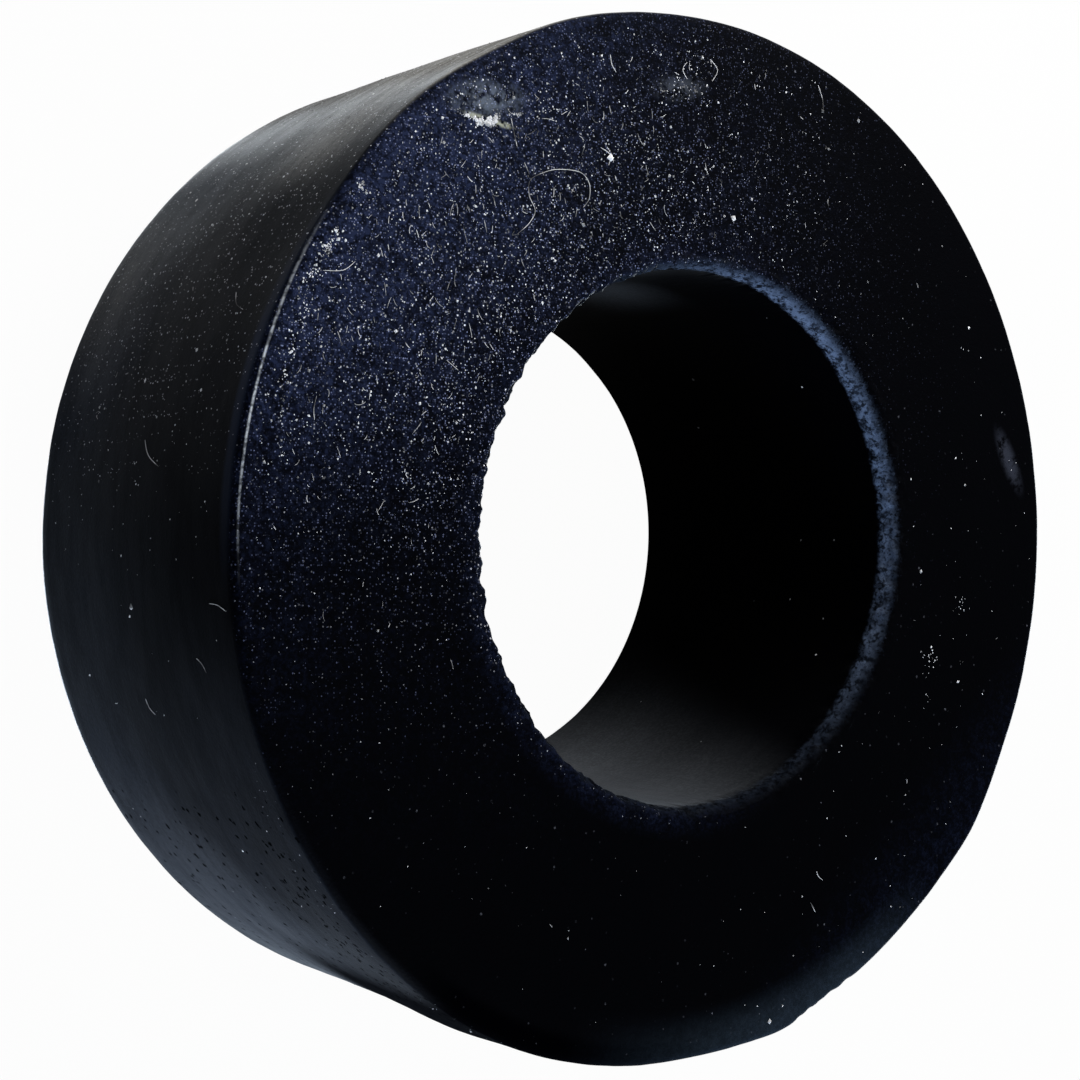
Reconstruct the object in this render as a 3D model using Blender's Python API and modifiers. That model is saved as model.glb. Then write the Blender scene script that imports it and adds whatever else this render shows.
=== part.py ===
"""Body mount bushing: one plain moulded rubber ring.

The bore's axis is the Z axis, and the origin is the middle of the lower face, on which the ring
stands. All sizes are in metres.
"""
import bpy
from math import atan2, cos, pi, sin

# Driving dimensions
OUTER_DIAMETER = 0.0600
BORE_DIAMETER = 0.0310
HEIGHT = 0.0242
TOP_OUTER_ROUNDING = 0.0010
TOP_BORE_ROUNDING = 0.0012
BOTTOM_OUTER_ROUNDING = 0.0008
BOTTOM_BORE_ROUNDING = 0.0004

# How finely the round stretches are drawn
TURN_STEPS = 96
ARC_STEPS = 5
SEAM_MERGE_DISTANCE = 0.00001

# The rubber's finish
RUBBER_COLOUR = (0.012, 0.013, 0.016, 1.0)
RUBBER_ROUGHNESS = 0.72

# Which way a corner of the section points
OUTWARD, INWARD = 1, -1
UP, DOWN = 1, -1


def clear_objects():
    for thing in list(bpy.data.objects):
        bpy.data.objects.remove(thing, do_unlink=True)


def rounded_corner(radius, height, rounding, across, along):
    """A quarter circle, drawn clockwise, in place of the sharp corner at this radius and height."""
    first_angle = atan2(along, across) + pi / 4
    points = []
    for step in range(ARC_STEPS + 1):
        angle = first_angle - step / ARC_STEPS * pi / 2
        point_radius = radius + rounding * (cos(angle) - across)
        point_height = height + rounding * (sin(angle) - along)
        points.append((point_radius, point_height))
    return points


def ring_section():
    """The closed outline of the rubber: down the outside, in below, up the bore and out on top."""
    outside = OUTER_DIAMETER / 2
    bore = BORE_DIAMETER / 2
    outline = rounded_corner(outside, HEIGHT, TOP_OUTER_ROUNDING, OUTWARD, UP)
    outline += rounded_corner(outside, 0.0, BOTTOM_OUTER_ROUNDING, OUTWARD, DOWN)
    outline += rounded_corner(bore, 0.0, BOTTOM_BORE_ROUNDING, INWARD, DOWN)
    outline += rounded_corner(bore, HEIGHT, TOP_BORE_ROUNDING, INWARD, UP)
    return outline


def section_mesh(name, outline):
    """A mesh of the outline's edges alone, standing in the XZ plane at +X."""
    points = [(radius, 0.0, height) for radius, height in outline]
    count = len(points)
    edges = [(index, (index + 1) % count) for index in range(count)]
    mesh = bpy.data.meshes.new(name)
    mesh.from_pydata(points, edges, [])
    return mesh


def rubber_material():
    material = bpy.data.materials.new("black_rubber")
    material.use_nodes = True
    shader = material.node_tree.nodes["Principled BSDF"]
    shader.inputs["Base Color"].default_value = RUBBER_COLOUR
    shader.inputs["Roughness"].default_value = RUBBER_ROUGHNESS
    shader.inputs["Metallic"].default_value = 0.0
    return material


def make_bushing(collection):
    """The ring: its section turned once round the Z axis."""
    bushing = bpy.data.objects.new("bushing", section_mesh("bushing", ring_section()))
    collection.objects.link(bushing)
    turn = bushing.modifiers.new("turn", "SCREW")
    turn.axis = "Z"
    turn.angle = 2 * pi
    turn.steps = TURN_STEPS
    turn.render_steps = TURN_STEPS
    turn.use_merge_vertices = True
    turn.merge_threshold = SEAM_MERGE_DISTANCE
    turn.use_smooth_shade = True
    bushing.data.materials.append(rubber_material())


def main():
    clear_objects()
    collection = bpy.data.collections.new("body_mount_bushing")
    bpy.context.scene.collection.children.link(collection)
    make_bushing(collection)


main()
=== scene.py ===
"""Body mount bushing: the looks of one plain moulded rubber ring, dusty and lightly worn.

The ring lies on its lower face on a pale floor. Sizes are in metres and azimuths in degrees unless a
comment says otherwise. An azimuth goes round the bore's axis from +X towards +Y.
"""
import math

import bpy
import numpy as np
from mathutils import Matrix, Vector, noise
from mathutils.bvhtree import BVHTree


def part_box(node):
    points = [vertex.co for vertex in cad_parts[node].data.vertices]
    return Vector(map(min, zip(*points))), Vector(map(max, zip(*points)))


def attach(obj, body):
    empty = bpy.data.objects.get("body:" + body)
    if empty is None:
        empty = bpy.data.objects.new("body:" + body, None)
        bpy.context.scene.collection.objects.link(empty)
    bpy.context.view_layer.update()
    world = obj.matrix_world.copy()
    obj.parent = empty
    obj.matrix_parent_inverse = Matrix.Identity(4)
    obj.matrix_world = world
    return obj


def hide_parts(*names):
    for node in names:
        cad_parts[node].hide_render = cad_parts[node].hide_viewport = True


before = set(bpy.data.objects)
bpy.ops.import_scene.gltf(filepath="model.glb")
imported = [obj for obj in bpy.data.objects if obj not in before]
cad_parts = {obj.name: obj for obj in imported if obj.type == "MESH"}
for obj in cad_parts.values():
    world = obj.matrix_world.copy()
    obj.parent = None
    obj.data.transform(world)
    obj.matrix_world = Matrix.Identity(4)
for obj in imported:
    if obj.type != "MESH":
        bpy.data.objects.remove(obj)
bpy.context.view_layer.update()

bl_info = {
    "name": "Body mount bushing",
    "version": (1, 0, 0),
    "blender": (4, 5, 0),
    "location": "3D View > Sidebar > Bushing",
    "description": "Makes a worn rubber body mount ring, the dust and lint on it, and a plain studio",
    "category": "Add Mesh",
}

MM = 0.001
NODE = "bushing"
BODY = "root"


def bore_radius_of(node):
    """The bore's radius, as the radius of the node's innermost corner."""
    return min(math.hypot(corner.co.x, corner.co.y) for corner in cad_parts[node].data.vertices)


LOW_CORNER, HIGH_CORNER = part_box(NODE)
OUTER_RADIUS = HIGH_CORNER.x
HEIGHT = HIGH_CORNER.z
BORE_RADIUS = bore_radius_of(NODE)

# The upper face lies this much below the solid's, and the wall this much inside it, so that the dust
# and lint on them stay inside the solid's box
FACE_DROP = 0.10 * MM
WALL_INSET = 0.03 * MM
TOP = HEIGHT - FACE_DROP
# Further out than this a point belongs to the outer edge or the wall
NEAR_WALL = OUTER_RADIUS - 3.0 * MM

# Marks on the upper outer edge: azimuth, half width in degrees, and how far the edge stands out
EDGE_MARKS = (
    (-33.0, 10.0, -0.30 * MM),
    (-59.5, 5.0, -0.20 * MM),
    (-82.0, 12.0, -0.08 * MM),
    (-120.0, 14.0, 0.09 * MM),
    (91.0, 7.0, -0.15 * MM),
    (104.5, 3.2, 0.24 * MM),
    (118.0, 9.0, -0.20 * MM),
    (142.5, 4.5, 0.24 * MM),
    (58.0, 12.0, 0.12 * MM),
)

# Small nicks in the worn stretch of that edge: azimuth, half width in degrees, and depth
EDGE_NICKS = (
    (106.9, 0.5, 0.12 * MM),
    (108.6, 0.6, 0.16 * MM),
    (110.4, 0.5, 0.10 * MM),
    (112.3, 0.8, 0.14 * MM),
    (115.1, 0.6, 0.11 * MM),
)

# Low swells of the wall: azimuth and half width in degrees, height and half height, and how far out
WALL_SWELLS = (
    (67.0, 9.0, 17.5 * MM, 4.0 * MM, 0.30 * MM),
)

# The moulding's soft waves: width, the width and share of the finer ones, and the level below which
# the ring is plain, so that it lies flat
WAVE_WIDTH = 5.0 * MM
FINE_WAVE_WIDTH = 0.8 * MM
FINE_WAVE_SHARE = 0.25
PLAIN_BELOW = 0.2 * MM

# The frayed upper edge of the bore: width of its waves, how far it reaches, and the spread in degrees
# of the deeper notches
RIPPLE_WIDTH = 0.95 * MM
FRAYED_WITHIN = 0.15 * MM
FRAYED_FADE = 0.55 * MM
NOTCH_SPREAD = 70.0

# The thin lip on the outer edge: azimuth and half width in degrees, where its middle is, and its size
LIP_AZIMUTH = -10.0
LIP_HALF_WIDTH = 11.0
LIP_RADIUS = OUTER_RADIUS - 0.35 * MM
LIP_MIDDLE = HEIGHT - 0.45 * MM
LIP_THICKNESS = 0.16 * MM

# Single flecks on the upper face: x and y in millimetres, and width
FACE_FLECKS = (
    (7.17, -20.90, 0.50 * MM),
    (-2.00, -18.66, 0.46 * MM),
    (-9.02, -25.90, 0.24 * MM),
    (-12.10, -25.81, 0.34 * MM),
    (-6.04, 28.43, 0.42 * MM),
    (-13.14, -16.02, 0.22 * MM),
    (-22.46, -13.95, 0.24 * MM),
    (-7.04, -22.33, 0.20 * MM),
    (-18.40, 1.70, 0.24 * MM),
    (27.30, -6.40, 0.22 * MM),
    (27.05, -7.30, 0.18 * MM),
    (22.00, -14.00, 0.24 * MM),
    (-22.36, -3.86, 0.22 * MM),
)

# Loose clusters of flecks on the upper face: x, y and reach in millimetres, and number
FACE_CLUSTERS = (
    (-19.3, 7.4, 1.0, 26),
    (-22.0, 3.9, 0.7, 16),
    (-19.2, 9.9, 0.5, 6),
    (1.5, -26.5, 1.6, 20),
    (7.4, -21.0, 0.9, 12),
    (23.0, -17.3, 0.4, 22),
    (24.5, -15.0, 0.4, 14),
    (25.2, -14.0, 0.4, 10),
    (26.1, -11.5, 0.4, 10),
)

# Streaks of fine flecks on the upper face: points in millimetres, spread, number and usual width
FACE_STREAKS = (
    (((17.23, -21.94), (16.60, -21.80), (16.08, -21.68)), 0.05 * MM, 26, 0.09 * MM),
    (((16.20, -21.68), (15.60, -21.66), (14.94, -21.86)), 0.10 * MM, 90, 0.13 * MM),
    (((14.94, -21.86), (14.75, -22.10), (13.39, -22.41)), 0.06 * MM, 50, 0.10 * MM),
    (((13.39, -22.41), (12.20, -22.70), (10.81, -23.06)), 0.06 * MM, 18, 0.08 * MM),
    (((3.80, -25.20), (2.40, -25.45), (0.90, -25.70)), 0.16 * MM, 36, 0.09 * MM),
    (
        ((26.10, -11.00), (26.75, -9.10), (27.25, -7.20), (27.40, -5.30), (27.30, -3.40)),
        0.16 * MM, 60, 0.08 * MM,
    ),
    (((24.60, -14.60), (25.50, -13.20), (26.60, -11.70)), 0.12 * MM, 60, 0.09 * MM),
)

# Single flecks on the wall: azimuth in degrees, height in millimetres, and width
WALL_FLECKS = (
    (8.0, 12.3, 0.42 * MM),
    (8.9, 12.0, 0.24 * MM),
    (16.0, 5.0, 0.20 * MM),
    (-14.0, 9.0, 0.24 * MM),
    (-27.0, 15.5, 0.24 * MM),
    (-39.6, 5.7, 0.26 * MM),
    (-18.0, 17.1, 0.30 * MM),
    (-15.4, 11.8, 0.26 * MM),
    (-18.6, 20.1, 0.22 * MM),
    (-32.9, 12.0, 0.20 * MM),
    (-21.3, 11.5, 0.20 * MM),
    (34.5, 15.9, 0.22 * MM),
)

# Single flecks in the bore: azimuth in degrees, height in millimetres, and width
BORE_FLECKS = (
    (-137.3, 9.7, 0.24 * MM),
    (-150.9, 7.8, 0.18 * MM),
    (-141.8, 19.2, 0.22 * MM),
    (-120.1, 20.7, 0.16 * MM),
    (-179.5, 15.9, 0.20 * MM),
    (-179.4, 18.9, 0.16 * MM),
    (165.3, 12.1, 0.18 * MM),
    (166.2, 15.5, 0.20 * MM),
    (162.0, 18.9, 0.16 * MM),
    (153.0, 19.3, 0.20 * MM),
    (124.3, 14.4, 0.14 * MM),
    (134.7, 5.6, 0.14 * MM),
)

# Lint fibres on the upper face, as points in millimetres: first the long loop, then short ones
FACE_FIBRES = (
    ((13.44, -16.03), (12.67, -16.70), (12.29, -17.44), (12.70, -18.19), (12.65, -19.00), (11.73, -19.54),
     (10.73, -19.83), (9.30, -19.86), (8.67, -19.34), (8.65, -18.52), (9.05, -17.98)),
    ((13.60, -16.20), (13.75, -15.95), (13.44, -16.03)),
    ((13.97, -22.11), (13.76, -21.34), (13.55, -20.63)),
    ((13.07, -19.90), (12.90, -19.60), (12.73, -19.31)),
    ((25.20, -12.95), (24.06, -13.07), (23.37, -13.58)),
    ((25.46, -6.72), (25.60, -6.10), (25.55, -5.53)),
    ((7.37, -26.59), (7.25, -26.10), (6.93, -25.68)),
    ((1.80, -27.07), (2.12, -26.62), (1.77, -26.11)),
    ((-0.01, -27.48), (-0.50, -26.98), (-0.11, -26.29)),
    ((-8.57, -27.39), (-8.95, -26.60), (-9.02, -25.90)),
    ((7.90, -21.40), (7.30, -21.15), (7.00, -20.75)),
)

# Lint fibres on the wall, as pairs of azimuth in degrees and height in millimetres
WALL_FIBRES = (
    ((6.9, 21.5), (7.0, 22.4), (7.5, 23.2)),
    ((17.6, 11.9), (18.6, 12.1), (19.2, 12.6)),
    ((12.4, 19.3), (12.9, 19.8), (13.7, 20.1)),
    ((-9.0, 13.5), (-7.4, 14.2), (-6.2, 15.6)),
    ((-24.0, 19.0), (-22.6, 19.6), (-21.8, 20.6)),
)

# Smears and scuffs on the upper face: middle and half sizes in millimetres, turn in degrees, the
# range of the streaky noise that shows in them, strength and colour
FACE_SMEARS = (
    ((15.6, -22.9), (3.2, 1.3), 8.0, (0.34, 0.62), 0.28, (0.30, 0.36, 0.44)),
    ((15.4, -21.8), (2.4, 0.26), -6.0, (0.40, 0.60), 0.60, (0.60, 0.62, 0.46)),
    ((2.4, -25.5), (2.6, 0.9), 10.0, (0.38, 0.60), 0.14, (0.24, 0.28, 0.36)),
    ((-26.6, -5.6), (3.0, 0.9), 121.0, (0.30, 0.55), 0.10, (0.22, 0.25, 0.36)),
)

EDGE_BLOOM_AND_HIGHLIGHT_COLOUR = (0.030, 0.045, 0.064)
WALL_DUST_AND_PAINTED_SHEEN_COLOUR = (0.37, 0.36, 0.335)
BORE_PAINTED_LIGHT_COLOUR = (0.134, 0.146, 0.166)
MARK_COLOUR = (0.50, 0.52, 0.62)
STRIP_COLOUR = (0.030, 0.042, 0.080)
LIP_DUST_AND_HIGHLIGHT_COLOUR = (0.78, 0.84, 0.92)
PIT_COLOUR = (0.0006, 0.0007, 0.001)
WHITE = (1.0, 1.0, 1.0)

# Flecks and lint are mottled: the mottling's scale for each metre, and how bright its dark parts are
DUST_MOTTLE_SCALE = 900.0
DARK_SHARE = 0.12


class RingSettings(bpy.types.PropertyGroup):
    """The rubber ring's edges, wear and colours."""

    turn_steps: bpy.props.IntProperty(
        name="Turn steps", description="Steps round the ring", default=800, min=32
    )
    outer_rounding: bpy.props.FloatProperty(
        name="Outer rounding", description="Rounding of the upper outer edge",
        default=0.55 * MM, min=0.0, unit="LENGTH",
    )
    rim_width: bpy.props.FloatProperty(
        name="Rim width", description="How far the bore's rounded upper edge reaches across the face",
        default=0.58 * MM, min=0.0, unit="LENGTH",
    )
    rim_wear: bpy.props.FloatProperty(
        name="Rim wear", description="How much wider that edge is where it is worn most",
        default=0.45 * MM, min=0.0, unit="LENGTH",
    )
    rim_depth: bpy.props.FloatProperty(
        name="Rim depth", description="How far the bore's rounded upper edge reaches down the bore",
        default=0.95 * MM, min=0.0, unit="LENGTH",
    )
    far_rim: bpy.props.FloatVectorProperty(
        name="Far rim", description="How much wider and deeper that edge is at azimuth 180",
        default=(0.24 * MM, 0.42 * MM), size=2, subtype="XYZ", unit="LENGTH",
    )
    worn_side: bpy.props.FloatProperty(
        name="Worn side", description="Azimuth of the bore's most worn edge",
        default=math.radians(-142.0), unit="ROTATION",
    )
    bore_shift: bpy.props.FloatVectorProperty(
        name="Bore shift", description="How far the moulded bore lies off the ring's middle",
        default=(-0.36 * MM, -0.12 * MM), size=2, subtype="XYZ", unit="LENGTH",
    )
    lower_outer_rounding: bpy.props.FloatProperty(
        name="Lower outer rounding", description="Rounding of the lower outer edge",
        default=0.8 * MM, min=0.0, unit="LENGTH",
    )
    lower_bore_rounding: bpy.props.FloatProperty(
        name="Lower bore rounding", description="Rounding of the lower edge of the bore",
        default=0.4 * MM, min=0.0, unit="LENGTH",
    )
    crumb_size: bpy.props.FloatProperty(
        name="Crumb size", description="Width of one crumb on the bore's rough upper edge",
        default=0.34 * MM, min=0.05 * MM, unit="LENGTH",
    )
    crumb_height: bpy.props.FloatProperty(
        name="Crumb height", description="Height of the crumbs on the bore's rough upper edge",
        default=0.09 * MM, min=0.0, unit="LENGTH",
    )
    ripple_height: bpy.props.FloatProperty(
        name="Ripple height", description="Height of the longer waves along the bore's upper edge",
        default=0.13 * MM, min=0.0, unit="LENGTH",
    )
    notching: bpy.props.FloatProperty(
        name="Notching", description="How much higher those waves are at azimuth 0", default=0.9, min=0.0
    )
    unevenness: bpy.props.FloatProperty(
        name="Unevenness", description="Height of the moulding's soft waves on every side",
        default=0.03 * MM, min=0.0, unit="LENGTH",
    )
    lip_height: bpy.props.FloatProperty(
        name="Lip height", description="Height of the thin lip along one stretch of the outer edge",
        default=0.07 * MM, min=0.0, unit="LENGTH",
    )
    rubber_colour: bpy.props.FloatVectorProperty(
        name="Rubber colour", description="Colour of the clean rubber",
        default=(0.0003, 0.0003, 0.0007), size=3, subtype="COLOR", min=0.0, max=1.0,
    )
    bloom_colour: bpy.props.FloatVectorProperty(
        name="Bloom colour", description="Colour of the thin bluish bloom on the rubber",
        default=(0.014, 0.020, 0.050), size=3, subtype="COLOR", min=0.0, max=1.0,
    )
    wall_colour: bpy.props.FloatVectorProperty(
        name="Wall colour", description="Colour of the greyer film on the outer wall",
        default=(0.0145, 0.0190, 0.0290), size=3, subtype="COLOR", min=0.0, max=1.0,
    )
    dust_colour: bpy.props.FloatVectorProperty(
        name="Dust colour", description="Colour of the dust grains",
        default=(0.88, 0.90, 1.0), size=3, subtype="COLOR", min=0.0, max=1.0,
    )
    fine_dust_colour: bpy.props.FloatVectorProperty(
        name="Fine dust colour", description="Colour of the finest dust",
        default=(0.46, 0.53, 0.90), size=3, subtype="COLOR", min=0.0, max=1.0,
    )
    crumb_colour: bpy.props.FloatVectorProperty(
        name="Crumb colour", description="Colour of the frayed rubber on the bore's upper edge",
        default=(0.115, 0.158, 0.255), size=3, subtype="COLOR", min=0.0, max=1.0,
    )


class DustSettings(bpy.types.PropertyGroup):
    """The loose dust flecks and lint."""

    face_flecks: bpy.props.IntProperty(
        name="Face flecks", description="Number of small flecks on the upper face", default=2400, min=0
    )
    wall_flecks: bpy.props.IntProperty(
        name="Wall flecks", description="Number of small flecks on the outer wall", default=3400, min=0
    )
    fleck_size: bpy.props.FloatProperty(
        name="Fleck size", description="Width of a usual fleck",
        default=0.070 * MM, min=0.0, unit="LENGTH",
    )
    face_fibres: bpy.props.IntProperty(
        name="Face fibres", description="Number of short lint fibres on the upper face", default=240, min=0
    )
    wall_fibres: bpy.props.IntProperty(
        name="Wall fibres", description="Number of short lint fibres on the outer wall", default=14, min=0
    )
    fibre_radius: bpy.props.FloatProperty(
        name="Fibre radius", description="Radius of a lint fibre",
        default=0.019 * MM, min=0.0, unit="LENGTH",
    )
    fleck_colour: bpy.props.FloatVectorProperty(
        name="Fleck colour", description="Colour of the dust flecks",
        default=(0.80, 0.81, 0.84), size=3, subtype="COLOR", min=0.0, max=1.0,
    )
    lint_colour: bpy.props.FloatVectorProperty(
        name="Lint colour", description="Colour of the lint",
        default=(0.70, 0.70, 0.72), size=3, subtype="COLOR", min=0.0, max=1.0,
    )
    seed: bpy.props.IntProperty(
        name="Seed", description="Seed of the scatter of flecks and lint", default=7, min=0
    )


class StudioSettings(bpy.types.PropertyGroup):
    """The camera, the floor and the lamps."""

    camera_place: bpy.props.FloatVectorProperty(
        name="Camera place", description="Where the camera stands",
        default=(0.0725, 0.00018, 0.10635), size=3, subtype="TRANSLATION", unit="LENGTH",
    )
    sight_elevation: bpy.props.FloatProperty(
        name="Sight elevation", description="How steeply the camera looks down",
        default=math.radians(53.46), unit="ROTATION",
    )
    camera_roll: bpy.props.FloatProperty(
        name="Camera roll", description="Turn of the camera about its line of sight",
        default=math.radians(91.06), unit="ROTATION",
    )
    lens: bpy.props.FloatProperty(
        name="Lens", description="Focal length for a sensor 36 mm wide",
        default=63.56, min=1.0, unit="CAMERA",
    )
    floor_colour: bpy.props.FloatVectorProperty(
        name="Floor colour", description="Colour of the plain floor",
        default=(0.50, 0.50, 0.51), size=3, subtype="COLOR", min=0.0, max=1.0,
    )
    white_share: bpy.props.FloatProperty(
        name="White share", description="How much of the floor is plain white to the camera",
        default=0.97, min=0.0, max=1.0, subtype="FACTOR",
    )
    mirror_share: bpy.props.FloatProperty(
        name="Mirror share", description="How much of the floor is plain white in reflections",
        default=0.04, min=0.0, max=1.0, subtype="FACTOR",
    )
    sky_strength: bpy.props.FloatProperty(
        name="Sky strength", description="Strength of the even light from all round",
        default=0.05, min=0.0,
    )


class Value:
    """A number that changes over a surface. Sums written with it become Math nodes."""

    def __init__(self, graph, socket):
        self.graph = graph
        self.socket = socket

    def __add__(self, other):
        return self.graph.maths("ADD", self, other)

    def __radd__(self, other):
        return self.graph.maths("ADD", other, self)

    def __sub__(self, other):
        return self.graph.maths("SUBTRACT", self, other)

    def __rsub__(self, other):
        return self.graph.maths("SUBTRACT", other, self)

    def __mul__(self, other):
        return self.graph.maths("MULTIPLY", self, other)

    def __rmul__(self, other):
        return self.graph.maths("MULTIPLY", other, self)

    def __truediv__(self, other):
        return self.graph.maths("DIVIDE", self, other)

    def __pow__(self, other):
        return self.graph.maths("POWER", self, other)

    def root(self):
        return self.graph.maths("SQRT", self, 0.0)


class Graph:
    """A node tree that is written as Python expressions."""

    def __init__(self, tree):
        self.tree = tree
        self.tree.nodes.clear()

    def node(self, kind, settings=None, inputs=None):
        """Adds a node: its settings first, then the values or links of its sockets, by identifier."""
        node = self.tree.nodes.new(kind)
        for name, setting in (settings or {}).items():
            setattr(node, name, setting)
        sockets = {socket.identifier: socket for socket in node.inputs}
        for name, given in (inputs or {}).items():
            if isinstance(given, Value):
                given = given.socket
            if isinstance(given, bpy.types.NodeSocket):
                self.tree.links.new(given, sockets[name])
            else:
                sockets[name].default_value = given
        return node

    def maths(self, operation, first, second):
        node = self.node("ShaderNodeMath", {"operation": operation}, {"Value": first, "Value_001": second})
        return Value(self, node.outputs[0])

    def smooth(self, value, low, high):
        """0 below low and 1 above high, with a soft step between. With high the lower one, it falls."""
        node = self.node(
            "ShaderNodeMapRange",
            {"interpolation_type": "SMOOTHSTEP"},
            {"Value": value, "From Min": low, "From Max": high},
        )
        return Value(self, node.outputs[0])

    def bump_at(self, value, middle, half_width):
        """A soft hump: 1 where value is middle, 0 from half_width away."""
        distance = self.maths("ABSOLUTE", value - middle, 0.0)
        return self.smooth(distance, half_width, 0.0)

    def mix(self, factor, first, second):
        """A mix of two colours, each a socket or plain numbers."""
        if not isinstance(first, bpy.types.NodeSocket):
            first = colour(first)
        if not isinstance(second, bpy.types.NodeSocket):
            second = colour(second)
        node = self.node(
            "ShaderNodeMix",
            {"data_type": "RGBA"},
            {"Factor_Float": factor, "A_Color": first, "B_Color": second},
        )
        return node.outputs[2]

    def mix_shader(self, factor, first, second):
        node = self.node(
            "ShaderNodeMixShader", None, {"Fac": factor, "Shader": first, "Shader_001": second}
        )
        return node.outputs[0]

    def noise(self, vector, scale, roughness=0.5):
        node = self.node(
            "ShaderNodeTexNoise",
            None,
            {"Vector": vector, "Scale": scale, "Detail": 2.0, "Roughness": roughness},
        )
        return Value(self, node.outputs["Fac"])

    def cells(self, vector, scale):
        """Distance to the nearest cell's middle, and two random numbers of that cell's own."""
        node = self.node(
            "ShaderNodeTexVoronoi",
            {"feature": "F1"},
            {"Vector": vector, "Scale": scale},
        )
        parts = self.node("ShaderNodeSeparateColor", None, {"Color": node.outputs["Color"]})
        distance = Value(self, node.outputs["Distance"])
        return distance, Value(self, parts.outputs[0]), Value(self, parts.outputs[1])


def colour(values):
    return (values[0], values[1], values[2], 1.0)


def new_material(name):
    material = bpy.data.materials.new(name)
    material.use_nodes = True
    return material, Graph(material.node_tree)


class RingPlaces:
    """Where a point of the surface is on the ring, in millimetres, as values in a material."""

    def __init__(self, graph, bore_shift):
        self.graph = graph
        coordinates = graph.node("ShaderNodeTexCoord")
        scaled = graph.node(
            "ShaderNodeVectorMath",
            {"operation": "SCALE"},
            {"Vector": coordinates.outputs["Object"], "Scale": 1.0 / MM},
        )
        self.point = scaled.outputs[0]
        parts = graph.node("ShaderNodeSeparateXYZ", None, {"Vector": self.point})
        self.x = Value(graph, parts.outputs[0])
        self.y = Value(graph, parts.outputs[1])
        self.z = Value(graph, parts.outputs[2])
        self.radius = (self.x * self.x + self.y * self.y).root()
        self.azimuth = graph.maths("ARCTAN2", self.y, self.x)
        across = self.x - bore_shift[0] / MM
        along = self.y - bore_shift[1] / MM
        self.bore_radius = (across * across + along * along).root()

    def drawn_out(self, across):
        """The place with its level distances shrunk, for noise that is drawn out round the ring."""
        shrunk = self.graph.node(
            "ShaderNodeVectorMath",
            {"operation": "MULTIPLY"},
            {"Vector": self.point, "Vector_001": (across, across, 1.0)},
        )
        return shrunk.outputs[0]

    def spot(self, middle, half_sizes, turn):
        """1 in the middle of an oval on the upper face, and 0 outside it."""
        cosine = math.cos(math.radians(turn))
        sine = math.sin(math.radians(turn))
        across = self.x - middle[0]
        along = self.y - middle[1]
        first = (across * cosine + along * sine) / half_sizes[0]
        second = (along * cosine - across * sine) / half_sizes[1]
        return self.graph.smooth((first * first + second * second).root(), 1.0, 0.2)


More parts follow.
